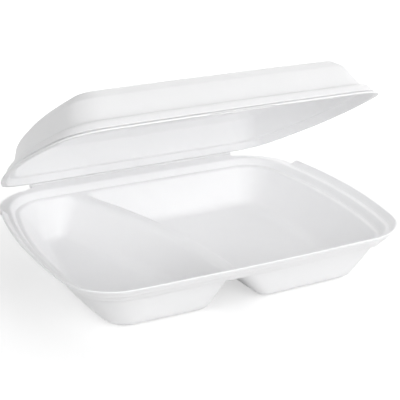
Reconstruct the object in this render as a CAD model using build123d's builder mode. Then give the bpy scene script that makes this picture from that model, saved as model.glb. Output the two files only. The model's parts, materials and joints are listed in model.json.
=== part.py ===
# Hinged foam takeaway box with two food compartments, its lid standing part open.
# Millimetres. X runs along the hinge, -Y is the front, +Z is up, z = 0 is the table.
import math
import os

from build123d import *

os.makedirs("parts", exist_ok=True)

# Foam sheet that the whole box is formed from
foam = 2.5

# Rim of the base, seen from above: straight hinge side, bowed sides and front
rim_width = 240.0
rim_depth = 200.0
rim_height = 37.5
rim_side_bow = 14.5
rim_front_bow = 2.5
rim_front_corner = 35.0
rim_back_corner = 39.0

# Stepped rim, from the lip inwards and downwards
lip_land = 0.8
lip_run = 4.4
lip_drop = 4.0
upper_ledge = 3.0
step_run = 2.8
step_drop = 5.0
lower_ledge = 3.2
lip_end = 60.0          # the raised lip ends this far behind the middle of the rim
lip_end_run = 3.0       # length of the lip's sloping end

# Walls of the base, from the rim's lowest ledge down to the floor, and the floor
side_wall_run = 17.3    # how far a wall leans in on its way down
front_wall_run = 13.3
floor_shift = 0.5       # middle of the floor, measured backwards from the middle of the rim
floor_side_bow = 7.0
floor_front_bow = 1.5
floor_front_corner = 13.0
floor_back_corner = 12.0
floor_round = 8.0       # inside, between floor and walls
foot_round = 5.0        # outside, along the bottom edge

# Divider between the compartments: a hollow ridge that curves to the left at the back
left_room_front = 65.5  # from the left edge of the floor to the foot of the divider, on the table
left_room_back = 3.5
ridge_height = 27.5
ridge_width = 9.0
ridge_round = 3.0
ridge_foam = 5.0        # foam left between the ridge and the space under it
left_foot_front = 12.0  # from the ridge to the foot of its left flank, on the table
left_foot_back = 28.0
right_foot_front = 29.0
right_foot_back = 26.0
divider_bow = 13.5

# Lid, in its own closed place over the base
lid_side_inset = 4.0
lid_front_inset = 4.5
lid_side_bow = 15.0
lid_front_bow = 3.0
lid_front_corner = 28.0
lid_back_corner = 22.0
lid_seat_gap = 0.7      # between the lid's flange and the flare of the base's lip
lid_flange = 4.0
lid_step_run = 3.0
lid_step_rise = 5.0
lid_ledge = 4.0
catch_width = 43.0      # rebate under the middle of the front flange
catch_depth = 3.0
catch_height = 1.5

# Dome of the lid: its crown is the edge where the walls turn in to the top
side_dome_run = 7.0     # how far a wall of the dome leans in on its way up
front_dome_run = 8.675
crown_shift = 3.0       # middle of the crown, measured backwards from the middle of the rim
crown_side_bow = 9.0
crown_front_bow = 2.0
crown_front_corner = 16.0
crown_back_corner = 18.0
dome_rise = 16.0
crown_run = 6.0
crown_rise = 4.6

# Hinge along the back edge, and how far the lid stands open
hinge_length = 166.0
hinge_radius = 1.6
hinge_gap = 0.3
hinge_reach = 2.0       # from the rim's back edge to the hinge line
open_angle = 26.8

# Rim of the base, as (inset, height) points on the food side of the sheet
upper_level = rim_height - lip_drop
lower_level = upper_level - step_drop
upper_inset = lip_land + lip_run
step_inset = upper_inset + upper_ledge
lower_inset = step_inset + step_run
wall_inset = lower_inset + lower_ledge
wall_rise = lower_level - foam
floor_width = rim_width - 2 * (wall_inset + side_wall_run)
floor_depth = rim_depth - 2 * (wall_inset + front_wall_run)
wall_slope = (side_wall_run + front_wall_run) / 2 / wall_rise
rim_profile = [
    (lip_land, rim_height),
    (upper_inset, upper_level),
    (step_inset, upper_level),
    (lower_inset, lower_level),
    (wall_inset, lower_level),
    (wall_inset + wall_slope * wall_rise, foam),
]

# Front to back, with the origin midway between the front edge and the back of the hinge
rim_middle = -(hinge_reach + hinge_radius) / 2
rim_front = rim_middle - rim_depth / 2
rim_back = rim_middle + rim_depth / 2
lip_end_y = rim_middle + lip_end

# Ridge of the divider at the front edge of the rim and at the hinge edge
ridge_front = left_room_front + left_foot_front - floor_width / 2
ridge_back = left_room_back + left_foot_back - floor_width / 2

# The lid's closed place, and the hinge line midway between the two flanges
lid_seat = rim_height + lid_seat_gap - (lid_side_inset - lip_land) * lip_drop / lip_run
hinge_y = rim_back + hinge_reach
hinge_z = (upper_level + lid_seat) / 2
hinge_line = Axis((0, hinge_y, hinge_z), (-1, 0, 0))
lid_back = hinge_y - hinge_gap / 2
lid_front = rim_front + lid_front_inset
lid_width = rim_width - 2 * lid_side_inset

# Lid, as (inset, height) points on the food side, from its flange up
ledge_inset = lid_flange + lid_step_run
dome_inset = ledge_inset + lid_ledge
crown_width = lid_width - 2 * (dome_inset + side_dome_run)
crown_depth = lid_back - lid_front - 2 * (dome_inset + front_dome_run)
crown_inset = dome_inset + (side_dome_run + front_dome_run) / 2
crown_height = lid_step_rise + dome_rise
top_height = crown_height + crown_rise
lid_profile = [
    (0.0, 0.0),
    (lid_flange, 0.0),
    (ledge_inset, lid_step_rise),
    (dome_inset, lid_step_rise),
    (crown_inset, crown_height),
    (crown_inset + crown_run, top_height),
    (rim_depth / 2, top_height),
]


# Profile moved square to itself by a thickness, starting on the trimmed outer edge
def parallel(profile, thickness):
    normals = []
    for (inset_a, height_a), (inset_b, height_b) in zip(profile, profile[1:]):
        length = math.hypot(inset_b - inset_a, height_b - height_a)
        normals.append(((height_a - height_b) / length, (inset_b - inset_a) / length))
    edge_inset, edge_height = profile[0]
    across, up = normals[0]
    moved = [(0.0, edge_height + (thickness + edge_inset * across) / up)]
    for corner, before, after in zip(profile[1:], normals, normals[1:]):
        share = thickness / (1.0 + before[0] * after[0] + before[1] * after[1])
        inset = corner[0] + share * (before[0] + after[0])
        height = corner[1] + share * (before[1] + after[1])
        moved.append((inset, height))
    return moved


# Middle of a corner arc that lies inside a side arc and a front arc and touches both
def corner_middle(side_x, side_reach, front_y, front_reach):
    apart = math.hypot(side_x, front_y)
    along = (side_reach ** 2 - front_reach ** 2 + apart ** 2) / (2 * apart)
    aside = math.sqrt(side_reach ** 2 - along ** 2)
    across_x = -side_x / apart
    across_y = front_y / apart
    return (side_x + along * across_x + aside * across_y, along * across_y - aside * across_x)


# Rectangle with a straight back, bowed sides and front, and round corners.
# It is drawn clockwise from the left end of its back, and grows by an equal margin all round.
def bowed_outline(plane, width, depth, side_bow, front_bow, front_corner, back_corner, grow):
    half_front = width / 2 - side_bow
    side_radius = ((depth / 2) ** 2 + side_bow ** 2) / (2 * side_bow)
    front_radius = (half_front ** 2 + front_bow ** 2) / (2 * front_bow)
    side_x = width / 2 - side_radius
    front_y = front_radius - depth / 2
    back_corner_y = depth / 2 - back_corner
    back_corner_x = side_x + math.sqrt((side_radius - back_corner) ** 2 - back_corner_y ** 2)
    corner_x, corner_y = corner_middle(side_x, side_radius - front_corner, front_y, front_radius - front_corner)
    back_turn = math.degrees(math.atan2(back_corner_y, back_corner_x - side_x))
    side_turn = math.degrees(math.atan2(corner_y, corner_x - side_x))
    front_turn = math.degrees(math.atan2(corner_y - front_y, corner_x))
    back_y = depth / 2 + grow
    with BuildSketch(plane, mode=Mode.PRIVATE) as outline:
        with BuildLine():
            Line((-back_corner_x, back_y), (back_corner_x, back_y))
            CenterArc((back_corner_x, back_corner_y), back_corner + grow, 90, back_turn - 90)
            CenterArc((side_x, 0), side_radius + grow, back_turn, side_turn - back_turn)
            CenterArc((corner_x, corner_y), front_corner + grow, side_turn, front_turn - side_turn)
            CenterArc((0, front_y), front_radius + grow, front_turn, -180 - 2 * front_turn)
            CenterArc((-corner_x, corner_y), front_corner + grow, 180 - front_turn, front_turn - side_turn)
            CenterArc((-side_x, 0), side_radius + grow, 180 - side_turn, side_turn - back_turn)
            CenterArc((-back_corner_x, back_corner_y), back_corner + grow, 180 - back_turn, back_turn - 90)
        make_face()
    return outline.sketch


def rim_outline(inset, height):
    return bowed_outline(
        Plane((0, rim_middle, height)), rim_width, rim_depth, rim_side_bow, rim_front_bow,
        rim_front_corner, rim_back_corner, -inset,
    )


def floor_outline(grow, height):
    return bowed_outline(
        Plane((0, rim_middle + floor_shift, height)), floor_width, floor_depth, floor_side_bow, floor_front_bow,
        floor_front_corner, floor_back_corner, grow,
    )


def lid_outline(inset, height):
    middle_y = (lid_back + lid_front) / 2
    return bowed_outline(
        Plane((0, middle_y, lid_seat + height)), lid_width, lid_back - lid_front, lid_side_bow, lid_front_bow,
        lid_front_corner, lid_back_corner, -inset,
    )


def crown_outline(inset, height):
    return bowed_outline(
        Plane((0, rim_middle + crown_shift, lid_seat + height)), crown_width, crown_depth, crown_side_bow,
        crown_front_bow, crown_front_corner, crown_back_corner, crown_inset - inset,
    )


# Divider seen from above at one height, its flanks moved inwards by a given amount
def divider_outline(height, inward):
    share = height / ridge_height
    half_ridge = ridge_width / 2
    left_front = ridge_front - left_foot_front + (left_foot_front - half_ridge) * share + inward
    left_back = ridge_back - left_foot_back + (left_foot_back - half_ridge) * share + inward
    right_front = ridge_front + right_foot_front - (right_foot_front - half_ridge) * share - inward
    right_back = ridge_back + right_foot_back - (right_foot_back - half_ridge) * share - inward
    left_middle = (left_front + left_back) / 2 + divider_bow
    right_middle = (right_front + right_back) / 2 + divider_bow
    with BuildSketch(Plane.XY.offset(height), mode=Mode.PRIVATE) as outline:
        with BuildLine():
            Line((left_front, rim_front), (right_front, rim_front))
            ThreePointArc((right_front, rim_front), (right_middle, rim_middle), (right_back, rim_back))
            Line((right_back, rim_back), (left_back, rim_back))
            ThreePointArc((left_back, rim_back), (left_middle, rim_middle), (left_front, rim_front))
        make_face()
    return outline.sketch


# Pairs of outlines to loft between, one pair for each sloping stretch of a profile
def stretches(profile, outline):
    pairs = []
    for (inset_a, height_a), (inset_b, height_b) in zip(profile, profile[1:]):
        if abs(height_a - height_b) > 0.001:
            pairs.append([outline(inset_a, height_a), outline(inset_b, height_b)])
    return pairs


# Outer faces of the base as one filled block
rim_underside = parallel(rim_profile, -foam)
floor_grow = foam * math.hypot(1.0, wall_slope) - wall_slope * foam
with BuildPart() as base_block:
    for pair in stretches([(0.0, rim_height)] + rim_underside, rim_outline):
        loft(pair, ruled=True)
    loft([rim_outline(*rim_underside[-1]), floor_outline(floor_grow, 0)], ruled=True)
    fillet(base_block.edges().group_by(Axis.Z)[0], foot_round)

# Food side of the base as one filled block, with the divider standing up into it
with BuildPart() as base_hollow:
    for pair in stretches(rim_profile[:-1], rim_outline):
        loft(pair, ruled=True)
    loft([rim_outline(wall_inset, lower_level), floor_outline(0, foam)], ruled=True)
    loft([divider_outline(0, 0), divider_outline(ridge_height, 0)], ruled=True, mode=Mode.SUBTRACT)
    ridge_edges = base_hollow.edges().filter_by_position(Axis.Z, ridge_height - 0.01, ridge_height + 0.01)
    fillet(ridge_edges.sort_by(SortBy.LENGTH)[-2:], ridge_round)
    fillet(base_hollow.edges().group_by(Axis.Z)[0], floor_round)

# Space under the divider, open at both ends and below
left_slope = (left_foot_front + left_foot_back - ridge_width) / 2 / ridge_height
right_slope = (right_foot_front + right_foot_back - ridge_width) / 2 / ridge_height
flank_across = foam * math.hypot(1.0, (left_slope + right_slope) / 2)
channel_height = ridge_height - ridge_foam
with BuildPart() as channel:
    loft([divider_outline(0, flank_across), divider_outline(channel_height, flank_across)], ruled=True)

with BuildPart() as base:
    add(base_block.part)
    # flat flange on the hinge side, where the lip stops
    with BuildSketch(Plane.XY.offset(upper_level - foam)):
        add(rim_outline(0, 0))
        with Locations((0, lip_end_y)):
            Rectangle(rim_width, rim_depth, align=(Align.CENTER, Align.MIN), mode=Mode.INTERSECT)
    extrude(amount=foam)
    with BuildSketch(Plane.YZ):
        with BuildLine():
            Polyline(
                (lip_end_y, upper_level),
                (rim_depth, upper_level),
                (rim_depth, rim_height + lip_drop),
                (lip_end_y - 2 * lip_end_run, rim_height + lip_drop),
                close=True,
            )
        make_face()
    extrude(amount=rim_width, both=True, mode=Mode.SUBTRACT)
    add(base_hollow.part, mode=Mode.SUBTRACT)
    add(channel.part, mode=Mode.SUBTRACT)
    # hinge bead on a turned-up edge
    with BuildSketch(Plane.YZ) as hinge_section:
        with Locations((hinge_y, hinge_z)):
            Circle(hinge_radius)
        with Locations((hinge_y - hinge_gap / 2, hinge_z - hinge_gap / 2)):
            Rectangle(foam, hinge_z - hinge_gap / 2 - upper_level + foam, align=(Align.MAX, Align.MAX))
        with Locations((hinge_y - hinge_gap / 2, upper_level)):
            Rectangle(step_inset + hinge_reach, foam, align=(Align.MAX, Align.MAX))
    extrude(amount=hinge_length / 2, both=True)

lid_outside = parallel(lid_profile, foam)
with BuildPart() as closed_lid:
    for pair in stretches([(0.0, 0.0)] + lid_outside[:4], lid_outline):
        loft(pair, ruled=True)
    loft([lid_outline(*lid_outside[3]), crown_outline(*lid_outside[4])], ruled=True)
    loft([crown_outline(*lid_outside[4]), crown_outline(*lid_outside[5])], ruled=True)
    for pair in stretches(lid_profile[1:4], lid_outline):
        loft(pair, ruled=True, mode=Mode.SUBTRACT)
    loft([lid_outline(*lid_profile[3]), crown_outline(*lid_profile[4])], ruled=True, mode=Mode.SUBTRACT)
    loft([crown_outline(*lid_profile[4]), crown_outline(*lid_profile[5])], ruled=True, mode=Mode.SUBTRACT)
    # rebate under the front flange
    with BuildSketch(Plane.XY.offset(lid_seat)):
        with Locations((0, lid_front)):
            Rectangle(catch_width, 2 * catch_depth)
    extrude(amount=catch_height, mode=Mode.SUBTRACT)
    # turned-down edge that folds round the hinge bead
    with BuildSketch(Plane.YZ):
        with Locations((lid_back, hinge_z + hinge_gap / 2)):
            Rectangle(foam, lid_seat + foam - hinge_z - hinge_gap / 2, align=(Align.MAX, Align.MIN))
    extrude(amount=hinge_length / 2, both=True)
    with BuildSketch(Plane.YZ):
        with Locations((hinge_y, hinge_z)):
            Circle(hinge_radius + hinge_gap)
    extrude(amount=hinge_length / 2 + hinge_gap, both=True, mode=Mode.SUBTRACT)

# Lid turned open about the hinge line
with BuildPart() as lid:
    add(closed_lid.part.rotate(hinge_line, open_angle))

base.part.label = "base"
export_step(base.part, "parts/base.step")
lid.part.label = "lid"
export_step(lid.part, "parts/lid.step")
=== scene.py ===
# Foam takeaway box: tray with two compartments, domed lid standing part open
import json
import math

import bmesh
import bpy
from mathutils import Matrix, Vector, noise


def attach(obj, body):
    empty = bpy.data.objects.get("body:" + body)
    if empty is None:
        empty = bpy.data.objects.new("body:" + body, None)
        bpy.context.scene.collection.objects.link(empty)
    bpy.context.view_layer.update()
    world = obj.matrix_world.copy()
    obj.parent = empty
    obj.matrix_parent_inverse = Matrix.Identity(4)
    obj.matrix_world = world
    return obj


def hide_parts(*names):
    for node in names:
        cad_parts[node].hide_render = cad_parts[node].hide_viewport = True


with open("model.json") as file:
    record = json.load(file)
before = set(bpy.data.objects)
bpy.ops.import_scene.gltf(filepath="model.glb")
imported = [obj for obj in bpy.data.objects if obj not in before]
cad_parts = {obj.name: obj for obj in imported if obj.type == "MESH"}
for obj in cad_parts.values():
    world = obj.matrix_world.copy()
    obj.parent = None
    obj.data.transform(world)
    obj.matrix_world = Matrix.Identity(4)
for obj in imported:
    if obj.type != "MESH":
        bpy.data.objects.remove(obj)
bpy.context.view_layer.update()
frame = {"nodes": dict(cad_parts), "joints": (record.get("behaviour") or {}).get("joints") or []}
mm = 0.001  # lengths are in mm unless a note says m

hinge = frame["joints"][0]
hingeY = hinge["pos_m"][1] / mm
hingeZ = hinge["pos_m"][2] / mm
openAngle = -math.radians(hinge["range_deg"][0])  # closed is the joint's lower limit
print("frame loaded, lid open by", round(math.degrees(openAngle), 1), "degrees")


def spread(start, stop, count):
    return [start + (stop - start) * step / count for step in range(count)]


# soft start and stop between 0 and 1
def ease(share):
    share = min(max(share, 0), 1)
    return share * share * (3 - 2 * share)


def bend(a, corner, b, count):
    return [a * (1 - t) ** 2 + corner * 2 * t * (1 - t) + b * t ** 2 for t in spread(0, 1, count)]


def lift(loop, heights):
    return [Vector((p[0], p[1], height)) for p, height in zip(loop, heights)]


# outline with a straight back, bowed sides and front, and round corners that touch both neighbours
def bowedShape(width, depth, sideBow, frontBow, frontCorner, backCorner, middleY):
    halfFront = width / 2 - sideBow
    sideRadius = ((depth / 2) ** 2 + sideBow ** 2) / (2 * sideBow)
    frontRadius = (halfFront ** 2 + frontBow ** 2) / (2 * frontBow)
    sideX = width / 2 - sideRadius
    frontY = frontRadius - depth / 2
    backCornerY = depth / 2 - backCorner
    backCornerX = sideX + math.sqrt((sideRadius - backCorner) ** 2 - backCornerY ** 2)
    sideReach = sideRadius - frontCorner
    frontReach = frontRadius - frontCorner
    apart = math.hypot(sideX, frontY)
    along = (sideReach ** 2 - frontReach ** 2 + apart ** 2) / (2 * apart)
    aside = math.sqrt(sideReach ** 2 - along ** 2)
    cornerX = sideX + along * -sideX / apart + aside * frontY / apart
    cornerY = along * frontY / apart + aside * sideX / apart
    return {
        "middleY": middleY, "depth": depth, "sideX": sideX, "sideRadius": sideRadius, "frontY": frontY,
        "frontRadius": frontRadius, "backCorner": backCorner, "backCornerX": backCornerX,
        "backCornerY": backCornerY, "frontCorner": frontCorner, "cornerX": cornerX, "cornerY": cornerY,
        "backTurn": math.atan2(backCornerY, backCornerX - sideX),
        "sideTurn": math.atan2(cornerY, cornerX - sideX),
        "frontTurn": math.atan2(cornerY - frontY, cornerX),
    }


# from here on hand is -1 for the left half of an outline and 1 for the right, grow moves it outwards
def arcPoints(shape, x, y, radius, start, stop, count, hand):
    points = []
    for turn in spread(start, stop, count):
        across = hand * (x + radius * math.cos(turn))
        points.append((across, shape["middleY"] + y + radius * math.sin(turn)))
    return points


# front corner, side and back corner
def sideStretch(shape, grow, hand, cornerCount, sideCount):
    points = arcPoints(shape, shape["cornerX"], shape["cornerY"], shape["frontCorner"] + grow,
                       shape["frontTurn"], shape["sideTurn"], cornerCount, hand)
    points += arcPoints(shape, shape["sideX"], 0, shape["sideRadius"] + grow,
                        shape["sideTurn"], shape["backTurn"], sideCount, hand)
    points += arcPoints(shape, shape["backCornerX"], shape["backCornerY"], shape["backCorner"] + grow,
                        shape["backTurn"], math.pi / 2, cornerCount, hand)
    return points


def frontPoint(shape, grow, x):
    radius = shape["frontRadius"] + grow
    return (x, shape["middleY"] + shape["frontY"] - math.sqrt(radius ** 2 - x ** 2))


def frontEnd(shape, grow):
    return (shape["frontRadius"] + grow) * math.cos(shape["frontTurn"])


def backY(shape, grow):
    return shape["middleY"] + shape["depth"] / 2 + grow


bendLimit = 0.48  # share of a straight run that one bend may take up


# path through a row of corners, each turned with a soft bend, radius 0 keeps it sharp
def softPath(corners, radii, turnSteps, runSteps):
    path = []
    last = corners[0]
    for k in range(1, len(corners) - 1):
        before, corner, after = corners[k - 1:k + 2]
        if radii[k - 1] == 0:
            path += [last.lerp(corner, t) for t in spread(0, 1, runSteps)]
            last = corner
            continue
        inward = before - corner
        onward = after - corner
        turn = math.pi - inward.angle(onward)
        cut = min(radii[k - 1] * math.tan(turn / 2), bendLimit * inward.length, bendLimit * onward.length)
        start = corner + inward.normalized() * cut
        stop = corner + onward.normalized() * cut
        path += [last.lerp(start, t) for t in spread(0, 1, runSteps)]
        path += bend(start, corner, stop, turnSteps)
        last = stop
    path += [last.lerp(corners[-1], t) for t in spread(0, 1, runSteps)]
    return path + [corners[-1].copy()]


# four-sided patch between two rows and two edges
def patch(top, bottom, left, right):
    rows = []
    across = len(top) - 1
    for k in range(len(left)):
        v = k / (len(left) - 1)
        row = []
        for i in range(across + 1):
            u = i / across
            point = top[i].lerp(bottom[i], v) + left[k].lerp(right[k], u)
            point -= top[0].lerp(top[-1], u).lerp(bottom[0].lerp(bottom[-1], u), v)
            row.append(point)
        row[0] = left[k]
        row[-1] = right[k]
        rows.append(row)
    rows[0] = list(top)
    rows[-1] = list(bottom)
    return rows


# foam sheet that both halves are formed from
sheet = {
    "thickness": 2.5, "waveHeight": 0.10, "waveLength": 38.0,
    "trimRound": 0.5, "trimShare": 0.4, "trimSteps": 4,  # the share limits the round where the sheet is thin
    # share of the thickness, ring by ring from the trimmed edge
    "pinch": [0.42, 0.42, 0.42, 0.43, 0.44, 0.46, 0.48, 0.5, 0.54, 0.6, 0.7, 0.8, 0.9],
}
sameDigits = 4  # points that agree to this many digits of a mm are one


# a formed half: the inner skin is laid first, then the outer skin and the trim are added
class Skin:
    def __init__(self):
        self.mesh = bmesh.new()
        self.known = {}
        self.roof = []  # points whose outer skin stays below a height
        self.roofColumns = []  # columns that come down from such a height
        self.sunk = []  # points pressed towards the outer skin, with the share

    def vert(self, point):
        key = tuple(round(value, sameDigits) for value in point)
        if key not in self.known:
            self.known[key] = self.mesh.verts.new(Vector(point) * mm)
        return self.known[key]

    def face(self, points):
        corners = []
        for point in points:
            corner = self.vert(point)
            if corner not in corners:
                corners.append(corner)
        if len(corners) > 2:
            self.mesh.faces.new(corners)

    def grid(self, columns, closed):
        following = columns[1:] + columns[:1] if closed else columns[1:]
        for left, right in zip(columns, following):
            for k in range(len(left) - 1):
                self.face((left[k], right[k], right[k + 1], left[k + 1]))

    # fill of a loop between its four corners, facing sides have equal counts
    def fill(self, loop, corners):
        sides = []
        for start, stop in zip(corners, corners[1:] + [corners[0] + len(loop)]):
            sides.append([loop[k % len(loop)] for k in range(start, stop + 1)])
        self.grid(patch(sides[0], sides[2][::-1], sides[3][::-1], sides[1]), False)

    # up is 1 where the inner skin looks up and -1 where it looks down
    def finish(self, name, up):
        shell = self.mesh
        bmesh.ops.recalc_face_normals(shell, faces=shell.faces)
        if up * sum(face.normal.z * face.calc_area() for face in shell.faces) < 0:
            bmesh.ops.reverse_faces(shell, faces=shell.faces)
        shell.normal_update()
        normals = {vert: vert.normal.copy() for vert in shell.verts}
        for vert, normal in normals.items():
            swell = noise.noise(vert.co / (sheet["waveLength"] * mm))
            vert.co += normal * swell * sheet["waveHeight"] * mm
        share = self.pinch()
        outside = {}
        for vert, normal in normals.items():
            outside[vert] = vert.co - normal * sheet["thickness"] * share.get(vert, 1) * mm
        self.lowerRoof(outside)
        for point, rise in self.sunk:
            vert = self.vert(point)
            vert.co = vert.co.lerp(outside[vert], rise)
        faces = list(shell.faces)
        border = [edge for edge in shell.edges if edge.is_boundary]
        twin = {vert: shell.verts.new(place) for vert, place in outside.items()}
        for face in faces:
            shell.faces.new([twin[vert] for vert in reversed(face.verts)])
        self.trim(border, normals, twin)
        return self.plain(name)

    def plain(self, name):
        bmesh.ops.recalc_face_normals(self.mesh, faces=self.mesh.faces)
        data = bpy.data.meshes.new(name)
        self.mesh.to_mesh(data)
        self.mesh.free()
        for polygon in data.polygons:
            polygon.use_smooth = True
        piece = bpy.data.objects.new(name, data)
        bpy.context.scene.collection.objects.link(piece)
        return piece

    # the sheet is pressed thinner towards its trimmed edge
    def pinch(self):
        share = {}
        ring = {vert for edge in self.mesh.edges if edge.is_boundary for vert in edge.verts}
        for thinner in sheet["pinch"]:
            for vert in ring:
                share[vert] = thinner
            ring = {edge.other_vert(vert) for vert in ring for edge in vert.link_edges} - set(share)
        return share

    def lowerRoof(self, outside):
        for point, level in self.roof:
            place = outside[self.vert(point)]
            place.z = min(place.z, level * mm)
        for column, level in self.roofColumns:
            verts = [self.vert(point) for point in column]
            reach = 1
            while reach < len(verts) - 1 and outside[verts[reach]].z > level * mm:
                reach += 1
            start = outside[verts[0]].copy()
            start.z = min(start.z, level * mm)
            stop = outside[verts[reach]].copy()
            for k in range(reach):
                outside[verts[k]] = start.lerp(stop, k / reach)

    # rounded strip between the two skins along the trimmed edge
    def trim(self, border, normals, twin):
        outward = {}
        for edge in border:
            face = edge.link_faces[0]
            along = (edge.verts[1].co - edge.verts[0].co).normalized()
            away = (edge.verts[0].co + edge.verts[1].co) / 2 - face.calc_center_median()
            away -= along * away.dot(along) + face.normal * away.dot(face.normal)
            for vert in edge.verts:
                outward[vert] = outward.get(vert, Vector()) + away.normalized()
        steps = sheet["trimSteps"]
        turns = [math.pi / 2 * k / steps for k in range(1, steps + 1)]
        strips = {}
        for vert, away in outward.items():
            away.normalize()
            other = twin[vert]
            normal = normals[vert]
            radius = min(sheet["trimRound"] * mm, sheet["trimShare"] * (vert.co - other.co).length)
            strip = []
            for t in turns:
                strip.append(vert.co + away * radius * math.sin(t) - normal * radius * (1 - math.cos(t)))
            for t in reversed(turns):
                strip.append(other.co + away * radius * math.sin(t) + normal * radius * (1 - math.cos(t)))
            strips[vert] = [vert] + [self.mesh.verts.new(place) for place in strip] + [other]
        for edge in border:
            loop = edge.link_loops[0]
            first = strips[loop.vert]
            second = strips[loop.link_loop_next.vert]
            for k in range(len(first) - 1):
                self.mesh.faces.new((second[k], first[k], first[k + 1], second[k + 1]))


# tray: rim, compartments and divider
rim = {
    "width": 240.0, "depth": 200.0, "sideBow": 14.5, "frontBow": 2.5,
    "frontCorner": 35.0, "backCorner": 39.0, "hingeReach": 2.0,
    # inset from the trimmed edge and height over the table, ring by ring
    "profile": [(0.9, 37.4), (1.7, 37.4), (5.3, 33.5), (8.2, 33.5), (11.0, 28.5)],
    "bends": [2.6, 1.2, 2.6, 0.9], "turnSteps": 5, "runSteps": 2,
    "lipEnd": 60.0, "lipEndRun": 3.0,
}

well = {
    "edgeInset": 14.2, "edgeHeight": 28.5, "edgeRound": 1.6,
    "floorWidth": 177.0, "floorDepth": 145.0, "floorShift": 0.5, "floorSideBow": 7.0, "floorFrontBow": 1.5,
    "floorFrontCorner": 13.0, "floorBackCorner": 12.0, "floorHeight": 2.58, "floorRound": 5.0,
    "footLimit": 0.45,  # share of the wall that the round at its foot may take up
    "arcLimit": 0.9,  # share of the back corner's radius where the divider may meet it
    "cornerCuts": [8.0, 7.0, 5.0, 2.0],  # edge, corner, foot, floor
    "steps": (6, 12, 9),  # round at the edge, wall, round at the foot
}

divider = {
    "height": 27.5, "width": 9.0, "front": -11.0, "back": -57.0, "bow": 13.5,
    "leftFoot": (12.0, 28.0), "rightFoot": (29.0, 26.0),  # at the front and at the back
    "round": 3.4,
    "roof": 22.0,  # height of the hollow under the ridge
}

# the flange behind the tray climbs to the crease and meets its roll
crease = {
    "length": 166.0, "run": 9.0, "climb": 1.35, "reach": 1.0, "endRun": 4.0,
    "radius": 1.55, "sides": 24, "capStart": 0.15, "capSteps": 6, "halfSteps": 20,  # start in radians
}

rimBack = hingeY - rim["hingeReach"]
rimMiddle = rimBack - rim["depth"] / 2
rimFront = rimBack - rim["depth"]
flangeHeight = rim["profile"][2][1]  # the flat step inside the lip
rimShape = bowedShape(rim["width"], rim["depth"], rim["sideBow"], rim["frontBow"],
                      rim["frontCorner"], rim["backCorner"], rimMiddle)
floorShape = bowedShape(well["floorWidth"], well["floorDepth"], well["floorSideBow"], well["floorFrontBow"],
                        well["floorFrontCorner"], well["floorBackCorner"], rimMiddle + well["floorShift"])

# mesh steps, endSteps run along the front and along the back of the left and the right compartment
cornerSteps = 16
sideSteps = 68
gapSteps = 10
bendSteps = 12
dividerSteps = 72
endSteps = {-1: 20, 1: 50}
wallSteps = {hand: 2 * endSteps[hand] + 2 * cornerSteps + sideSteps for hand in (-1, 1)}


# flank of the divider at one height, moved sideways by shift
def flankX(hand, height, shift, y):
    foot = divider["leftFoot"] if hand < 0 else divider["rightFoot"]
    share = height / divider["height"]
    ends = []
    for ridge, reach in zip((divider["front"], divider["back"]), foot):
        ends.append(ridge + hand * (reach - (reach - divider["width"] / 2) * share))
    along = (y - rimMiddle) / (rim["depth"] / 2)
    middle = (ends[0] + ends[1]) / 2 + (ends[1] - ends[0]) / 2 * along
    return middle + divider["bow"] * (1 - along ** 2) + shift


# end of a compartment's wall at the back: round the corner, then straight as far as stop
def backTail(shape, grow, hand, stop):
    radius = shape["backCorner"] + grow
    over = hand * stop - shape["backCornerX"]
    around = cornerSteps if over <= 0 else cornerSteps + endSteps[hand]
    lastTurn = math.pi / 2 if over <= 0 else math.acos(min(over / radius, well["arcLimit"]))
    tail = arcPoints(shape, shape["backCornerX"], shape["backCornerY"], radius, shape["backTurn"], lastTurn,
                     around, hand)
    if over <= 0:
        straight = spread(hand * shape["backCornerX"], stop, endSteps[hand])
        return tail + [(x, backY(shape, grow)) for x in straight + [stop]]
    return tail + [(hand * (shape["backCornerX"] + radius * math.cos(lastTurn)),
                    shape["middleY"] + shape["backCornerY"] + radius * math.sin(lastTurn))]


# loop of one compartment: wall from front to back, back bend, divider from back to front, front bend
def wellLoop(hand, shape, grow, height, shift, cut):
    backLine = backY(shape, grow)
    frontLine = shape["middleY"] - shape["depth"] / 2 - grow
    backCross = flankX(hand, height, shift, backLine)
    frontCross = flankX(hand, height, shift, frontLine)
    frontCorner = Vector(frontPoint(shape, grow, frontCross))
    frontXs = spread(frontCross + hand * cut, hand * frontEnd(shape, grow), endSteps[hand])
    wall = [frontPoint(shape, grow, x) for x in frontXs]
    wall += sideStretch(shape, grow, hand, cornerSteps, sideSteps)[:cornerSteps + sideSteps]
    wall += backTail(shape, grow, hand, backCross + hand * cut)
    wall = [Vector(point) for point in wall]
    ridgeYs = spread(backLine - cut, frontCorner.y + cut, dividerSteps) + [frontCorner.y + cut]
    ridge = [Vector((flankX(hand, height, shift, y), y)) for y in ridgeYs]
    loop = wall[:-1] + bend(wall[-1], Vector((backCross, backLine)), ridge[0], bendSteps)
    return loop + ridge[:-1] + bend(ridge[-1], frontCorner, wall[0], bendSteps)


# heights round the end bends and along the divider, eased from the wall's height and back to it
def ridgeHeights(wallHeight, ridgeHeight):
    rise = [wallHeight + (ridgeHeight - wallHeight) * ease(t) for t in spread(0, 1, bendSteps)]
    fall = [ridgeHeight + wallHeight - height for height in rise]
    return rise + [ridgeHeight] * dividerSteps + fall


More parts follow.
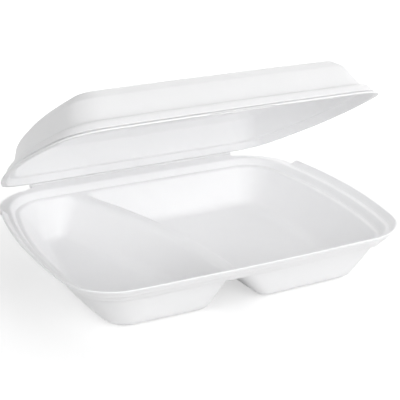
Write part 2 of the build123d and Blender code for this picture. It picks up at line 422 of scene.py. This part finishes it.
# columns of one compartment, each from the edge down the wall to the floor
def wellColumns(hand):
    cuts = well["cornerCuts"]
    edgeGrow = well["edgeRound"] - well["edgeInset"]
    inward = hand * well["floorRound"]
    crest = -hand * divider["round"]
    top = [well["edgeHeight"]] * wallSteps[hand] + ridgeHeights(well["edgeHeight"], divider["height"])
    low = [well["floorHeight"]] * len(top)
    edge = lift(wellLoop(hand, rimShape, edgeGrow, divider["height"], crest, cuts[0]), top)
    corner = lift(wellLoop(hand, rimShape, -well["edgeInset"], divider["height"], 0, cuts[1]), top)
    foot = lift(wellLoop(hand, floorShape, 0, well["floorHeight"], 0, cuts[2]), low)
    floor = wellLoop(hand, floorShape, -well["floorRound"], well["floorHeight"], inward, cuts[3])
    floor = lift(floor, low)
    edgeSteps, downSteps, footSteps = well["steps"]
    columns = []
    for a, b, c, d in zip(edge, corner, foot, floor):
        down = (c - b).normalized()
        high = b + down * (a - b).length
        deep = c - down * min((d - c).length, well["footLimit"] * (c - b).length)
        column = bend(a, b, high, edgeSteps)
        column += [high.lerp(deep, t) for t in spread(0, 1, downSteps)]
        columns.append(column + bend(deep, c, d, footSteps) + [d])
    return columns


# stations of the rim's wall at one inset, matched to a compartment's edge
def rimWall(hand, grow, edge):
    frontXs = spread(edge[0].x, hand * frontEnd(rimShape, grow), endSteps[hand])
    points = [frontPoint(rimShape, grow, x) for x in frontXs]
    points += sideStretch(rimShape, grow, hand, cornerSteps, sideSteps)
    backXs = spread(hand * rimShape["backCornerX"], edge[-1].x, endSteps[hand]) + [edge[-1].x]
    return points + [(x, backY(rimShape, grow)) for x in backXs]


# rings of the rim from the trimmed edge to the compartments, with a gap at each end of the divider
def rimRings(left, right):
    backGap = spread(left[-1].x, right[-1].x, gapSteps)[1:]
    frontGap = spread(right[0].x, left[0].x, gapSteps)[1:]
    rings = []
    for inset, height in rim["profile"]:
        ring = rimWall(-1, -inset, left)
        ring += [(x, backY(rimShape, -inset)) for x in backGap]
        ring += reversed(rimWall(1, -inset, right))
        ring += [frontPoint(rimShape, -inset, x) for x in frontGap]
        rings.append(lift(ring, [height] * len(ring)))
    ledge = well["edgeRound"] - well["edgeInset"]
    heights = [well["edgeHeight"]] * gapSteps
    last = left + lift([(x, backY(rimShape, ledge)) for x in backGap], heights)
    last += right[::-1] + lift([frontPoint(rimShape, ledge, x) for x in frontGap], heights)
    return rings + [last]


# the raised lip stops short of the hinge and slopes down to the flange there
def dropLip(path):
    for point in path:
        if point.z > flangeHeight:
            share = (point.y - (rimMiddle + rim["lipEnd"] - rim["lipEndRun"])) / rim["lipEndRun"]
            point.z += (flangeHeight - point.z) * ease(share)
    return path


def climbToCrease(path):
    for point in path:
        share = (point.y - (hingeY - crease["run"])) / (crease["run"] - rim["hingeReach"])
        inside = (crease["length"] / 2 - abs(point.x)) / crease["endRun"]
        rise = ease(share) * ease(inside)
        point.z += crease["climb"] * rise
        point.y += crease["reach"] * rise
    return path


def makeTray():
    skin = Skin()
    roofLine = ridgeHeights(well["edgeHeight"] - sheet["thickness"], divider["roof"])
    edge = {}
    for hand in (-1, 1):
        columns = wellColumns(hand)
        skin.grid(columns, True)
        edge[hand] = [column[0] for column in columns]
        sideStart = endSteps[hand] + cornerSteps // 2
        backStart = wallSteps[hand] + bendSteps // 2
        skin.fill([column[-1] for column in columns], [sideStart, sideStart + cornerSteps + sideSteps,
                                                       backStart, backStart + bendSteps + dividerSteps])
        skin.roofColumns += list(zip(columns[wallSteps[hand]:], roofLine))
    left = edge[-1][:wallSteps[-1] + 1]
    right = edge[1][:wallSteps[1] + 1]
    rings = rimRings(left, right)
    columns = []
    for stations in zip(*rings):
        path = softPath(stations, rim["bends"], rim["turnSteps"], rim["runSteps"])
        columns.append(climbToCrease(dropLip(path)))
    skin.grid(columns, True)

    # ridge between the compartments, and the ledge patch at each of its ends
    leftEnd = edge[-1][wallSteps[-1]:]
    rightEnd = edge[1][wallSteps[1]:]
    rows = []
    for step in range(bendSteps, bendSteps + dividerSteps + 1):
        a = leftEnd[step]
        b = rightEnd[step]
        rows.append([a.lerp(b, t) for t in spread(0, 1, gapSteps)] + [b])
    skin.grid(rows, False)
    last = rings[-1]
    backTop = last[len(left) - 1:len(left) + gapSteps]
    frontTop = [last[0]] + last[-gapSteps:][::-1]
    frontLeft = [left[0]] + leftEnd[:-bendSteps - 1:-1]
    frontRight = [right[0]] + rightEnd[:-bendSteps - 1:-1]
    backPatch = patch(backTop, rows[0], leftEnd[:bendSteps + 1], rightEnd[:bendSteps + 1])
    frontPatch = patch(frontTop, rows[-1], frontLeft, frontRight)
    for ledgePatch in (backPatch, frontPatch):
        skin.grid(ledgePatch, False)
        for row, level in zip(ledgePatch, roofLine):
            skin.roof += [(point, level) for point in row]
    for row in rows:
        skin.roof += [(point, divider["roof"]) for point in row]
    return skin.finish("tray", 1)


tray = makeTray()
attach(tray, "base")
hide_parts("base")
print("tray made,", len(tray.data.polygons), "faces")

# lid, made closed over the tray and then swung open about the hinge
cover = {
    "sideInset": 4.0, "frontInset": 4.5, "backGap": 1.9,
    "sideBow": 15.0, "frontBow": 3.0, "frontCorner": 28.0, "backCorner": 22.0,
    "crownWidth": 196.0, "crownDepth": 158.0, "crownShift": 3.0, "crownSideBow": 9.0, "crownFrontBow": 2.0,
    "crownFrontCorner": 16.0, "crownBackCorner": 18.0,
    # inset and height over the seat, ring by ring, where a bend of 0 stays sharp
    "flangeProfile": [(0.55, 0.0), (3.0, 0.0), (3.2, 0.0), (4.0, 0.0), (7.0, 5.0), (11.0, 5.0)],
    "crownProfile": [(0.0, 21.0), (6.0, 25.6), (12.0, 25.6)],
    "bends": [0, 0, 3.0, 1.2, 3.2, 3.0, 4.0], "turnSteps": 6, "runSteps": 3,
    "frontSteps": 48, "cornerSteps": 24, "sideSteps": 60,
    "catch": (43.0, 2.5, 0.6),  # rebate under the front flange: along, deep, share of the sheet
}

coverSeat = 2 * hingeZ - flangeHeight  # the hinge line is midway between the two flanges
coverBack = hingeY - cover["backGap"]
coverFront = rimFront + cover["frontInset"]
coverShape = bowedShape(rim["width"] - 2 * cover["sideInset"], coverBack - coverFront, cover["sideBow"],
                        cover["frontBow"], cover["frontCorner"], cover["backCorner"],
                        (coverBack + coverFront) / 2)
crownShape = bowedShape(cover["crownWidth"], cover["crownDepth"], cover["crownSideBow"],
                        cover["crownFrontBow"], cover["crownFrontCorner"], cover["crownBackCorner"],
                        rimMiddle + cover["crownShift"])


def coverRing(shape, grow, height):
    points = []
    for hand in (1, -1):
        frontXs = spread(0, hand * frontEnd(shape, grow), cover["frontSteps"])
        half = [frontPoint(shape, grow, x) for x in frontXs]
        half += sideStretch(shape, grow, hand, cover["cornerSteps"], cover["sideSteps"])
        backXs = spread(hand * shape["backCornerX"], 0, cover["frontSteps"])
        half += [(x, backY(shape, grow)) for x in backXs]
        points += half if hand > 0 else [(0, backY(shape, grow))] + half[:0:-1]
    return [Vector((x, y, coverSeat + height)) for x, y in points]


def makeLid():
    skin = Skin()
    rings = [coverRing(coverShape, -inset, height) for inset, height in cover["flangeProfile"]]
    rings += [coverRing(crownShape, -inset, height) for inset, height in cover["crownProfile"]]
    columns = []
    for stations in zip(*rings):
        columns.append(softPath(stations, cover["bends"], cover["turnSteps"], cover["runSteps"]))
    skin.grid(columns, True)
    frontStop = cover["frontSteps"] + cover["cornerSteps"] // 2
    sideStop = frontStop + cover["cornerSteps"] + cover["sideSteps"]
    corners = [frontStop, sideStop, len(columns) - sideStop, len(columns) - frontStop]
    skin.fill([column[-1] for column in columns], corners)
    along, deep, share = cover["catch"]
    for column in columns:
        if abs(column[0].x) <= along / 2 and column[0].y < 0:
            skin.sunk += [(point, share) for point in column if point.y <= column[0].y + deep]
    return skin.finish("lid_shell", -1)


lidShell = makeLid()
swing = Matrix.Translation((0, hingeY * mm, hingeZ * mm)) @ Matrix.Rotation(-openAngle, 4, "X")
swing = swing @ Matrix.Translation((0, -hingeY * mm, -hingeZ * mm))
lidShell.data.transform(swing)
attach(lidShell, "lid")
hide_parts("lid")
print("lid made,", len(lidShell.data.polygons), "faces")


# the sheet rolled over the hinge line
def makeCrease():
    skin = Skin()
    radius = crease["radius"]
    half = crease["length"] / 2 - radius
    capTurns = spread(crease["capStart"], math.pi / 2, crease["capSteps"])
    caps = [(half - radius * (1 - math.cos(t)), math.sin(t)) for t in capTurns]
    steps = crease["halfSteps"]
    stations = [(-x, scale) for x, scale in caps]
    stations += [(half * k / steps, 1) for k in range(1 - steps, steps)] + caps[::-1]
    columns = []
    for turn in spread(0, 2 * math.pi, crease["sides"]):
        column = []
        for x, scale in stations:
            reach = radius * scale
            column.append(Vector((x, hingeY + reach * math.cos(turn), hingeZ + reach * math.sin(turn))))
        columns.append(column)
    skin.grid(columns, True)
    for end in (0, -1):
        skin.face([column[end] for column in columns])
    return skin.plain("crease")


creaseRoll = makeCrease()
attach(creaseRoll, "base")
print("crease made")

# white foam with fine closed cells
foamLook = {
    "colour": (0.97, 0.97, 0.975, 1), "shade": (0.945, 0.945, 0.955, 1), "roughness": (0.44, 0.58),
    "mottleSize": 9.0, "mottleDetail": 4, "cellSize": 1.1, "cellBump": 0.12, "bumpStrength": 0.35,
    "through": 0.25, "throughReach": 2.5,
}


def foamMaterial():
    made = bpy.data.materials.new("white_foam")
    made.use_nodes = True
    nodes = made.node_tree.nodes
    links = made.node_tree.links
    shader = nodes["Principled BSDF"]
    shader.inputs["Subsurface Weight"].default_value = foamLook["through"]
    shader.inputs["Subsurface Radius"].default_value = (1, 1, 1)
    shader.inputs["Subsurface Scale"].default_value = foamLook["throughReach"] * mm
    place = nodes.new("ShaderNodeTexCoord")
    mottle = nodes.new("ShaderNodeTexNoise")
    mottle.inputs["Scale"].default_value = 1 / (foamLook["mottleSize"] * mm)
    mottle.inputs["Detail"].default_value = foamLook["mottleDetail"]
    tint = nodes.new("ShaderNodeMix")
    tint.data_type = "RGBA"
    tint.inputs["A"].default_value = foamLook["colour"]
    tint.inputs["B"].default_value = foamLook["shade"]
    gloss = nodes.new("ShaderNodeMapRange")
    gloss.inputs["To Min"].default_value = foamLook["roughness"][0]
    gloss.inputs["To Max"].default_value = foamLook["roughness"][1]
    cells = nodes.new("ShaderNodeTexVoronoi")
    cells.inputs["Scale"].default_value = 1 / (foamLook["cellSize"] * mm)
    skinBump = nodes.new("ShaderNodeBump")
    skinBump.inputs["Strength"].default_value = foamLook["bumpStrength"]
    skinBump.inputs["Distance"].default_value = foamLook["cellBump"] * mm
    links.new(place.outputs["Object"], mottle.inputs["Vector"])
    links.new(place.outputs["Object"], cells.inputs["Vector"])
    links.new(mottle.outputs["Fac"], tint.inputs["Factor"])
    links.new(tint.outputs["Result"], shader.inputs["Base Color"])
    links.new(mottle.outputs["Fac"], gloss.inputs["Value"])
    links.new(gloss.outputs["Result"], shader.inputs["Roughness"])
    links.new(cells.outputs["Distance"], skinBump.inputs["Height"])
    links.new(skinBump.outputs["Normal"], shader.inputs["Normal"])
    return made


foam = foamMaterial()
for piece in (tray, lidShell, creaseRoll):
    piece.data.materials.clear()
    piece.data.materials.append(foam)
for node in frame["nodes"].values():
    for spot in range(len(node.material_slots)):
        node.material_slots[spot].material = foam
print("foam applied")

# white table: grey for the light it throws back, whiter where it is seen, with the box's shadow kept
# size, near and far are in m
table = {
    "size": 6.0, "colour": (0.6, 0.6, 0.6, 1), "roughness": 0.8,
    "seenColour": (0.6, 0.6, 0.6, 1), "near": 0.13, "nearGlow": 0.53, "far": 0.34, "farGlow": 1.0,
}


# 1 where a ray from the camera or from a glossy or clear surface looks at the background
def seenBackground(tree):
    rays = tree.nodes.new("ShaderNodeLightPath")
    seen = rays.outputs["Is Camera Ray"]
    for other in ("Is Glossy Ray", "Is Transmission Ray"):
        either = tree.nodes.new("ShaderNodeMath")
        either.operation = "MAXIMUM"
        tree.links.new(seen, either.inputs[0])
        tree.links.new(rays.outputs[other], either.inputs[1])
        seen = either.outputs["Value"]
    return seen


def tableMaterial():
    look = bpy.data.materials.new("table_white")
    look.use_nodes = True
    nodes = look.node_tree.nodes
    links = look.node_tree.links
    plain = nodes["Principled BSDF"]
    plain.inputs["Base Color"].default_value = table["colour"]
    plain.inputs["Roughness"].default_value = table["roughness"]
    white = nodes.new("ShaderNodeBsdfDiffuse")
    white.inputs["Color"].default_value = table["seenColour"]
    glow = nodes.new("ShaderNodeEmission")
    place = nodes.new("ShaderNodeTexCoord")
    reach = nodes.new("ShaderNodeVectorMath")
    reach.operation = "LENGTH"
    fade = nodes.new("ShaderNodeMapRange")  # white away from the box
    fade.inputs["From Min"].default_value = table["near"]
    fade.inputs["From Max"].default_value = table["far"]
    fade.inputs["To Min"].default_value = table["nearGlow"]
    fade.inputs["To Max"].default_value = table["farGlow"]
    both = nodes.new("ShaderNodeAddShader")
    either = nodes.new("ShaderNodeMixShader")
    links.new(place.outputs["Object"], reach.inputs[0])
    links.new(reach.outputs["Value"], fade.inputs["Value"])
    links.new(fade.outputs["Result"], glow.inputs["Strength"])
    links.new(white.outputs["BSDF"], both.inputs[0])
    links.new(glow.outputs["Emission"], both.inputs[1])
    links.new(seenBackground(look.node_tree), either.inputs["Fac"])
    links.new(plain.outputs["BSDF"], either.inputs[1])
    links.new(both.outputs["Shader"], either.inputs[2])
    links.new(either.outputs["Shader"], nodes["Material Output"].inputs["Surface"])
    return look


def makeTable():
    data = bpy.data.meshes.new("table")
    half = table["size"] / 2
    corners = [(-half, -half, 0), (half, -half, 0), (half, half, 0), (-half, half, 0)]
    data.from_pydata(corners, [], [(0, 1, 2, 3)])
    data.materials.append(tableMaterial())
    top = bpy.data.objects.new("table", data)
    bpy.context.scene.collection.objects.link(top)


makeTable()
print("table laid")

# studio: soft lamps with their place and their power in W, size in m, inside a tent of white cloth
studio = {
    "tentLevel": 0.15, "lampSize": 0.7, "aim": (0, 0, 40),
    "lamps": {
        "front": ((0, -900, 260), 3.3),
        "high": ((120, -790, 480), 3.3),
        "left": ((-900, -150, 300), 2.9),
        "right": ((900, -150, 300), 3.0),
        "back": ((350, 800, 600), 3.6),
    },
}


# even light, and plain white where the camera sees it
def makeTent():
    tent = bpy.data.worlds.new("tent")
    bpy.context.scene.world = tent
    tent.use_nodes = True
    nodes = tent.node_tree.nodes
    links = tent.node_tree.links
    lit = nodes["Background"]
    lit.inputs["Strength"].default_value = studio["tentLevel"]
    lit.inputs["Color"].default_value = (1, 1, 1, 1)
    seen = nodes.new("ShaderNodeBackground")
    seen.inputs["Color"].default_value = (1, 1, 1, 1)
    seen.inputs["Strength"].default_value = 1
    either = nodes.new("ShaderNodeMixShader")
    links.new(seenBackground(tent.node_tree), either.inputs["Fac"])
    links.new(lit.outputs["Background"], either.inputs[1])
    links.new(seen.outputs["Background"], either.inputs[2])
    links.new(either.outputs["Shader"], nodes["World Output"].inputs["Surface"])


makeTent()
for name, (place, power) in studio["lamps"].items():
    light = bpy.data.lights.new(name, "AREA")
    light.size = studio["lampSize"]
    light.energy = power
    holder = bpy.data.objects.new(name, light)
    holder.location = Vector(place) * mm
    holder.rotation_euler = (Vector(studio["aim"]) - Vector(place)).to_track_quat("-Z", "Y").to_euler()
    bpy.context.scene.collection.objects.link(holder)
print("studio lit")

# camera at the photograph's angle, in degrees
shot = {
    "eye": (-269.4, -587.7, 287.8), "azimuth": -25.21, "elevation": 20.73, "roll": -0.78,
    "lens": 93.18, "sensor": 36.0,
}
azimuth = math.radians(shot["azimuth"])
elevation = math.radians(shot["elevation"])
roll = math.radians(shot["roll"])
back = Vector((math.sin(azimuth) * math.cos(elevation), -math.cos(azimuth) * math.cos(elevation),
               math.sin(elevation)))
level = Vector((math.cos(azimuth), math.sin(azimuth), 0))
upright = back.cross(level)
right = level * math.cos(roll) + upright * math.sin(roll)
up = upright * math.cos(roll) - level * math.sin(roll)
turned = Matrix((right, up, back)).transposed().to_4x4()
lens = bpy.data.cameras.new("portrait")
lens.lens = shot["lens"]
lens.sensor_width = shot["sensor"]
camera = bpy.data.objects.new("portrait", lens)
camera.matrix_world = Matrix.Translation(Vector(shot["eye"]) * mm) @ turned
bpy.context.scene.collection.objects.link(camera)
bpy.context.scene.camera = camera
bpy.context.scene.view_settings.view_transform = "Standard"
print("camera set")
